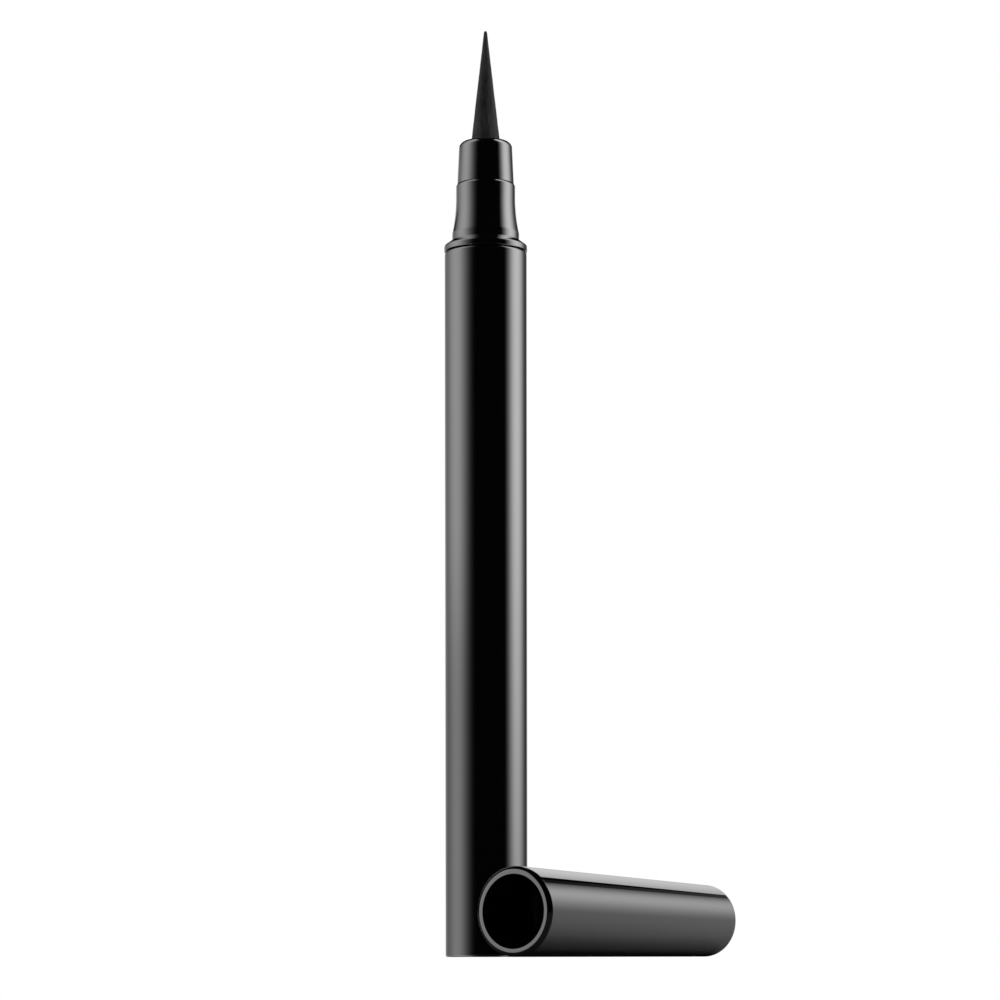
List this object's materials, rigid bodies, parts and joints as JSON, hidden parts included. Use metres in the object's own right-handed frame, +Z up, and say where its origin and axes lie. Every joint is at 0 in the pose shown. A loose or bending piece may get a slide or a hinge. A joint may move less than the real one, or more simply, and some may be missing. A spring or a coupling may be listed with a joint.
{
  "type": "liquid eyeliner pen",
  "caption": "Slim liquid eyeliner pen with a pointed felt nib standing on its flat base, with its cap taken off and lying beside it.",
  "frame": {"origin": "centre of the barrel's base, on the surface that the pen stands on", "axes": "+Z up along the pen to the nib's point, +Y from the lying cap's mouth towards its closed end"},
  "size_m": [0.0289, 0.0414, 0.113],
  "materials": {
    "gloss_black": "polished moulded plastic",
    "plug_black": "satin moulded plastic",
    "inner_black": "soft satin plastic",
    "collector_plastic": "matt moulded plastic",
    "natural_plastic": "unpigmented plastic",
    "seal_rubber": "moulded rubber",
    "nib_fibre": "bonded fibre soaked with ink",
    "wick_fibre": "bonded fibre soaked with ink",
    "ball_steel": "ground steel ball",
    "spring_steel": "drawn steel wire"
  },
  "bodies": {
    "pen": {"barrel": "gloss_black", "tail_plug": "plug_black", "tank_partition": "natural_plastic", "ink_collector": "collector_plastic", "relay_wick": "wick_fibre", "front_section": "gloss_black", "section_o_ring": "seal_rubber", "nib_holder": "gloss_black", "nib_clip": "natural_plastic", "nib": "nib_fibre"},
    "mixing_ball": {"mixing_ball": "ball_steel"},
    "cap": {"cap_shell": "gloss_black", "inner_cap_stop": "inner_black", "cap_spring": "spring_steel"},
    "inner_cap": {"inner_cap": "inner_black"}
  },
  "joints": [
    {"name": "ball_travel", "type": "slide", "parent": "pen", "child": "mixing_ball", "axis": [0, 0, 1], "range_m": [0, 0.04124]},
    {"name": "cap_lift", "type": "slide", "parent": "pen", "child": "cap", "axis": [0, 0, 1], "range_m": [0, 0.12]},
    {"name": "inner_cap_slide", "type": "slide", "parent": "cap", "child": "inner_cap", "axis": [0, 0.9998, -0.0182], "range_m": [0, 0.0018], "stiffness_N_per_m": 150, "springref_m": -0.002, "deforming": ["cap_spring"]}
  ]
}
